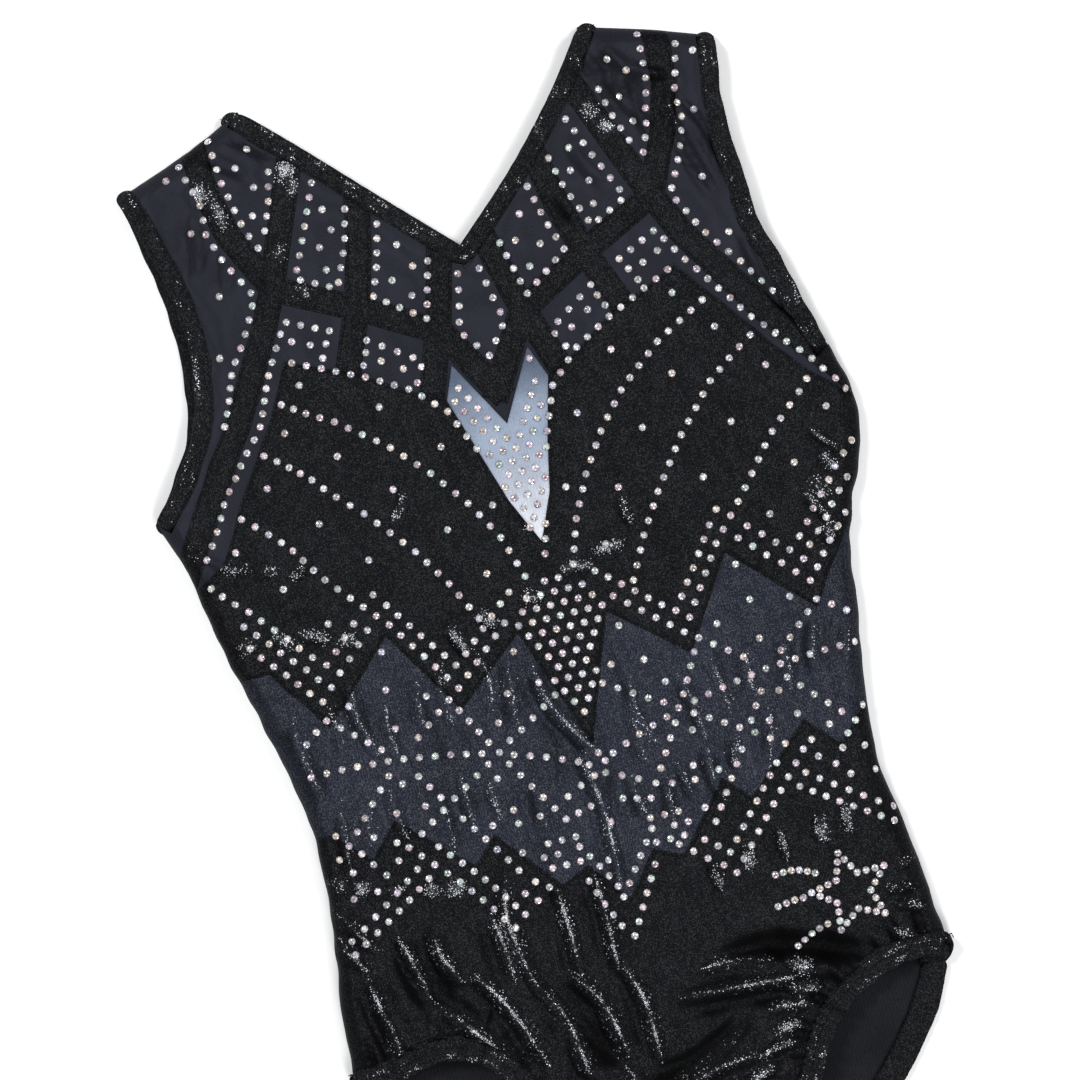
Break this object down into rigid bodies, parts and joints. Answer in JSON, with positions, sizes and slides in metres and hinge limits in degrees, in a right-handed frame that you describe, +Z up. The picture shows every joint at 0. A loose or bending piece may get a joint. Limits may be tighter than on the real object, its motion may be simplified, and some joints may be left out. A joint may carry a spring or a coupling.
{
  "type": "gymnastics leotard",
  "caption": "Child's sleeveless V-neck gymnastics leotard laid flat: mesh yoke under a lattice, ombre inset, zigzag-cut black and navy foil panels, bound edges.",
  "frame": {"origin": "the middle of the leotard's outline, on the surface it lies on", "axes": "+X across the leotard towards its left side as it is worn, +Y from the crotch to the shoulders, +Z up out of the front"},
  "size_m": [0.2734, 0.471, 0.0111],
  "materials": {
    "black_foil": "black stretch jersey with a fine foil sparkle",
    "slate_mesh": "matt slate-grey stretch mesh",
    "navy_foil": "slate-navy stretch jersey with fine glitter",
    "ombre_knit": "stretch knit, steel blue at the top fading to near white at the tip",
    "lining": "matt charcoal",
    "elastic": "matt black woven elastic",
    "thread": "matt black polyester sewing thread",
    "rhinestone": "foil-backed clear crystal with a faint iridescence",
    "label_tape": "plain satin tape, no print"
  },
  "bodies": {
    "root": {"front_yoke_mesh": "slate_mesh", "front_lattice": "black_foil", "front_bodice": "black_foil", "center_inset": "ombre_knit", "front_midriff": "navy_foil", "front_brief": "black_foil", "back_yoke_mesh": "slate_mesh", "back_bodice": "black_foil", "back_midriff": "navy_foil", "back_brief": "black_foil", "neck_binding": "black_foil", "neck_elastic_front": "elastic", "neck_elastic_back": "elastic", "left_arm_binding": "black_foil", "left_arm_elastic_front": "elastic", "left_arm_elastic_back": "elastic", "right_arm_binding": "black_foil", "right_arm_elastic_front": "elastic", "right_arm_elastic_back": "elastic", "left_leg_hem": "black_foil", "left_leg_elastic_front": "elastic", "left_leg_elastic_back": "elastic", "right_leg_hem": "black_foil", "right_leg_elastic_front": "elastic", "right_leg_elastic_back": "elastic", "left_side_seam": "lining", "right_side_seam": "lining", "left_shoulder_seam": "lining", "right_shoulder_seam": "lining", "crotch_seam": "lining", "gusset_lining": "lining", "care_label": "label_tape", "size_label": "label_tape"}
  },
  "joints": []
}
